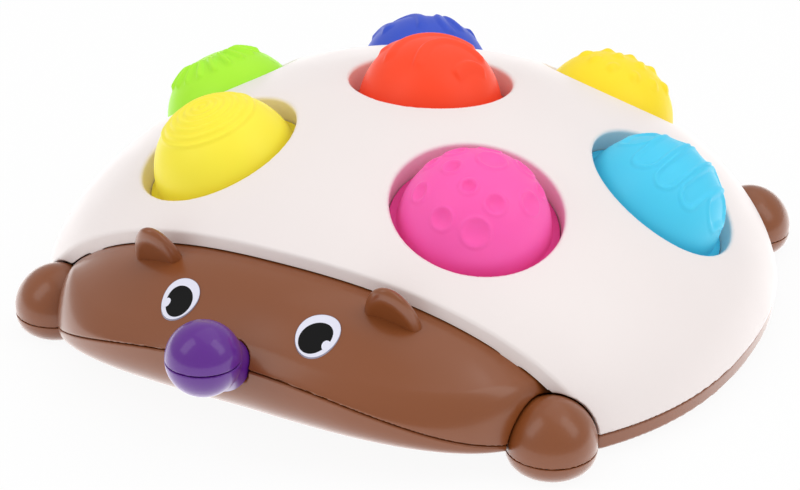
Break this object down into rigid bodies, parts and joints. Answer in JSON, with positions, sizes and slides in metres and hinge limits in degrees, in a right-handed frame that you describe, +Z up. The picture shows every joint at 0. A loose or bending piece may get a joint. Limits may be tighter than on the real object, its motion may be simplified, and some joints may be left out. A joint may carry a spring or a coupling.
{
  "type": "bubble pop fidget toy",
  "caption": "Hedgehog-shaped baby toy: domed shell with silicone pop bubbles in round wells, wedge head with a turning click nose, round feet and a closed base tray.",
  "frame": {"origin": "middle of the toy's bounding box, on the surface that the soles stand on", "axes": "+Z up, -Y towards the nose, +X to the right as seen by someone who faces the nose; left in the node names is -X"},
  "size_m": [0.1872, 0.2048, 0.0684],
  "materials": {
    "shell_plastic": "satin white ABS, finely textured",
    "brown_plastic": "satin brown ABS, soft sheen",
    "purple_plastic": "polished purple ABS",
    "eye_sticker": "gloss print on a vinyl sticker: black pupil and small white glint",
    "yellow_silicone": "matte silicone",
    "warm_yellow_silicone": "matte silicone",
    "pink_silicone": "matte silicone",
    "green_silicone": "matte silicone",
    "red_silicone": "matte silicone",
    "cyan_silicone": "matte silicone",
    "blue_silicone": "matte silicone",
    "inner_plastic": "unpolished inner moulding",
    "screw_steel": "zinc plated"
  },
  "bodies": {
    "housing": {"shell": "shell_plastic", "base_tray": "brown_plastic", "head_upper": "brown_plastic", "head_lower": "brown_plastic", "click_spring": "screw_steel", "left_ear": "brown_plastic", "right_ear": "brown_plastic", "left_eye": "eye_sticker", "right_eye": "eye_sticker", "front_left_foot": "brown_plastic", "front_right_foot": "brown_plastic", "rear_left_foot": "brown_plastic", "rear_right_foot": "brown_plastic", "front_left_sole": "brown_plastic", "front_right_sole": "brown_plastic", "rear_left_sole": "brown_plastic", "rear_right_sole": "brown_plastic", "front_left_bubble_skirt": "yellow_silicone", "front_right_bubble_skirt": "pink_silicone", "middle_left_bubble_skirt": "green_silicone", "centre_bubble_skirt": "red_silicone", "middle_right_bubble_skirt": "cyan_silicone", "back_left_bubble_skirt": "blue_silicone", "back_right_bubble_skirt": "warm_yellow_silicone", "front_left_retainer_ring": "inner_plastic", "front_right_retainer_ring": "inner_plastic", "middle_left_retainer_ring": "inner_plastic", "centre_retainer_ring": "inner_plastic", "middle_right_retainer_ring": "inner_plastic", "back_left_retainer_ring": "inner_plastic", "back_right_retainer_ring": "inner_plastic", "front_left_tray_screw": "screw_steel", "front_right_tray_screw": "screw_steel", "rear_left_tray_screw": "screw_steel", "rear_right_tray_screw": "screw_steel", "front_middle_tray_screw": "screw_steel", "rear_middle_tray_screw": "screw_steel", "front_left_sole_screw": "screw_steel", "front_right_sole_screw": "screw_steel", "rear_left_sole_screw": "screw_steel", "rear_right_sole_screw": "screw_steel", "left_head_screw": "screw_steel", "right_head_screw": "screw_steel", "left_neck_screw": "screw_steel", "right_neck_screw": "screw_steel"},
    "nose": {"nose_upper_half": "purple_plastic", "nose_lower_half": "purple_plastic", "nose_spindle": "purple_plastic", "click_wheel": "inner_plastic"},
    "front_left_crown": {"front_left_bubble_crown": "yellow_silicone"},
    "front_right_crown": {"front_right_bubble_crown": "pink_silicone"},
    "middle_left_crown": {"middle_left_bubble_crown": "green_silicone"},
    "centre_crown": {"centre_bubble_crown": "red_silicone"},
    "middle_right_crown": {"middle_right_bubble_crown": "cyan_silicone"},
    "back_left_crown": {"back_left_bubble_crown": "blue_silicone"},
    "back_right_crown": {"back_right_bubble_crown": "warm_yellow_silicone"}
  },
  "joints": [
    {"name": "nose_turn", "type": "hinge", "parent": "housing", "child": "nose", "pos_m": [0, -0.08545, 0.02297], "axis": [0, -0.831, 0.5563], "continuous": true},
    {"name": "front_left_pop", "type": "slide", "parent": "housing", "child": "front_left_crown", "axis": [-0.2485, -0.2617, 0.9326], "range_m": [-0.03, 0], "stiffness_N_per_m": 300},
    {"name": "front_right_pop", "type": "slide", "parent": "housing", "child": "front_right_crown", "axis": [0.2485, -0.2617, 0.9326], "range_m": [-0.03, 0], "stiffness_N_per_m": 300},
    {"name": "middle_left_pop", "type": "slide", "parent": "housing", "child": "middle_left_crown", "axis": [-0.5064, 0.078, 0.8588], "range_m": [-0.03, 0], "stiffness_N_per_m": 300},
    {"name": "centre_pop", "type": "slide", "parent": "housing", "child": "centre_crown", "axis": [0, 0.0611, 0.9981], "range_m": [-0.03, 0], "stiffness_N_per_m": 300},
    {"name": "middle_right_pop", "type": "slide", "parent": "housing", "child": "middle_right_crown", "axis": [0.5064, 0.078, 0.8588], "range_m": [-0.03, 0], "stiffness_N_per_m": 300},
    {"name": "back_left_pop", "type": "slide", "parent": "housing", "child": "back_left_crown", "axis": [-0.2022, 0.4427, 0.8736], "range_m": [-0.03, 0], "stiffness_N_per_m": 300},
    {"name": "back_right_pop", "type": "slide", "parent": "housing", "child": "back_right_crown", "axis": [0.2022, 0.4427, 0.8736], "range_m": [-0.03, 0], "stiffness_N_per_m": 300}
  ]
}
